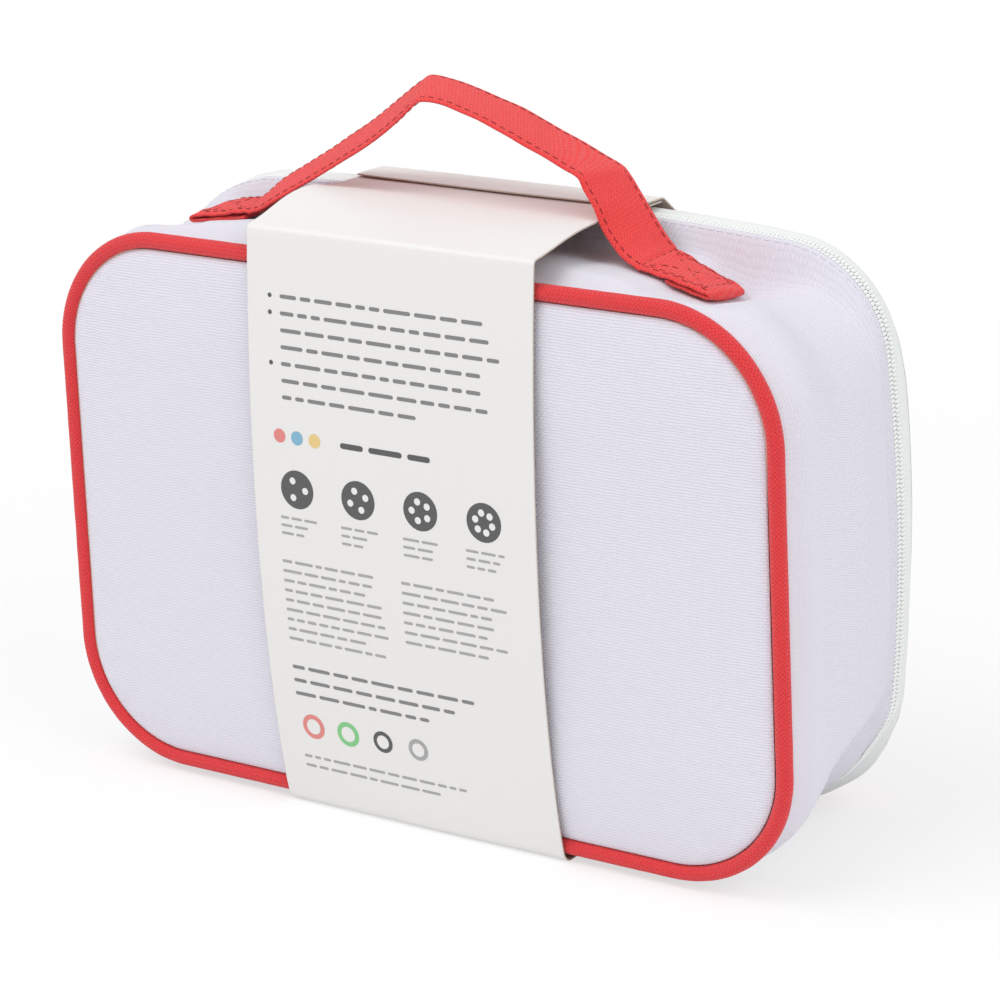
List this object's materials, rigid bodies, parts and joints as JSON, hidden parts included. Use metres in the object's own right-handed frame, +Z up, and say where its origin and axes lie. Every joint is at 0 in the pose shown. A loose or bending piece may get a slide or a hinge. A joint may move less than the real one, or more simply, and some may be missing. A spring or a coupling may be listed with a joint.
{
  "type": "toy doctor case",
  "caption": "Zipped soft fabric carrying case for a toy doctor set, with piped edges, a folding strap handle, an opening lid and a card sleeve round its middle.",
  "frame": {"origin": "on the surface that the case stands on, under the middle of the case; the sleeve's bottom panel rests there", "axes": "+Z up, +Y from the rear panel towards the lid, +X along the case's width"},
  "size_m": [0.2617, 0.088, 0.2115],
  "materials": {
    "case_fabric": "matt ribbed oxford weave, pale lavender white",
    "piping_fabric": "matt bias-cut fabric over a round cord, bright red",
    "stiffener_board": "plain grey-brown board",
    "padding_foam": "white closed-cell foam, weighed as a light textile",
    "lining_fabric": "smooth thin plain-weave lining, pale grey",
    "binding_tape": "flat woven tape, pale grey",
    "zip_tape": "close woven tape, pale grey",
    "zip_coil": "moulded nylon coil, pale",
    "handle_webbing": "woven webbing, bright red with darker stitching",
    "sleeve_card": "white-coated card with brown cut edges and back",
    "slider_metal": "smooth pale enamel on die-cast zinc",
    "pull_metal": "smooth pale enamel on die-cast zinc"
  },
  "bodies": {
    "case": {"rear_panel_cover": "case_fabric", "rear_panel_board": "stiffener_board", "rear_panel_lining": "lining_fabric", "rear_piping": "piping_fabric", "rear_seam_binding": "binding_tape", "gusset_cover": "case_fabric", "gusset_foam": "padding_foam", "gusset_lining": "lining_fabric", "hinge_cover": "case_fabric", "hinge_foam": "padding_foam", "hinge_lining": "lining_fabric", "zip_tape_body": "zip_tape", "zip_coil_body": "zip_coil", "handle_end_left": "handle_webbing", "handle_end_right": "handle_webbing", "sleeve_wrap": "sleeve_card"},
    "lid": {"front_panel_cover": "case_fabric", "front_panel_board": "stiffener_board", "front_panel_lining": "lining_fabric", "front_piping": "piping_fabric", "front_seam_binding": "binding_tape", "lid_border_cover": "case_fabric", "lid_border_lining": "lining_fabric", "zip_tape_lid": "zip_tape", "zip_coil_lid": "zip_coil"},
    "sleeve_front": {"sleeve_front": "sleeve_card"},
    "handle": {"handle_strap": "handle_webbing", "handle_root_left": "handle_webbing", "handle_root_right": "handle_webbing"},
    "slider_upper": {"zip_slider_upper": "slider_metal"},
    "slider_lower": {"zip_slider_lower": "slider_metal"},
    "pull_upper": {"zip_pull_upper": "pull_metal"},
    "pull_lower": {"zip_pull_lower": "pull_metal"}
  },
  "joints": [
    {"name": "lid_hinge", "type": "hinge", "parent": "case", "child": "lid", "pos_m": [0, 0.038, 0.0044], "axis": [-1, 0, 0], "range_deg": [0, 90]},
    {"name": "sleeve_front_fold", "type": "hinge", "parent": "case", "child": "sleeve_front", "pos_m": [0, 0.04125, 0.00025], "axis": [-1, 0, 0], "range_deg": [0, 90]},
    {"name": "handle_tilt", "type": "hinge", "parent": "case", "child": "handle", "pos_m": [0, 0.0033, 0.1855], "axis": [1, 0, 0], "range_deg": [-30, 30], "deforming": ["handle_root_left", "handle_root_right"]},
    {"name": "upper_slider_travel", "type": "hinge", "parent": "case", "child": "slider_upper", "pos_m": [0.36421, 0.0198, 0.0875], "axis": [0, 1, 0], "range_deg": [0, 4.3]},
    {"name": "lower_slider_travel", "type": "hinge", "parent": "case", "child": "slider_lower", "pos_m": [0.36421, 0.0198, 0.0875], "axis": [0, 1, 0], "range_deg": [-4.3, 0]},
    {"name": "upper_pull_swing", "type": "hinge", "parent": "slider_upper", "child": "pull_upper", "pos_m": [-0.13106, 0.0198, 0.09403], "axis": [0, -1, 0], "range_deg": [0, 150]},
    {"name": "lower_pull_swing", "type": "hinge", "parent": "slider_lower", "child": "pull_lower", "pos_m": [-0.13106, 0.0198, 0.08097], "axis": [0, 1, 0], "range_deg": [0, 150]}
  ],
  "couplings": [
    {"joint": "sleeve_front_fold", "follows": "lid_hinge", "ratio": 1}
  ]
}
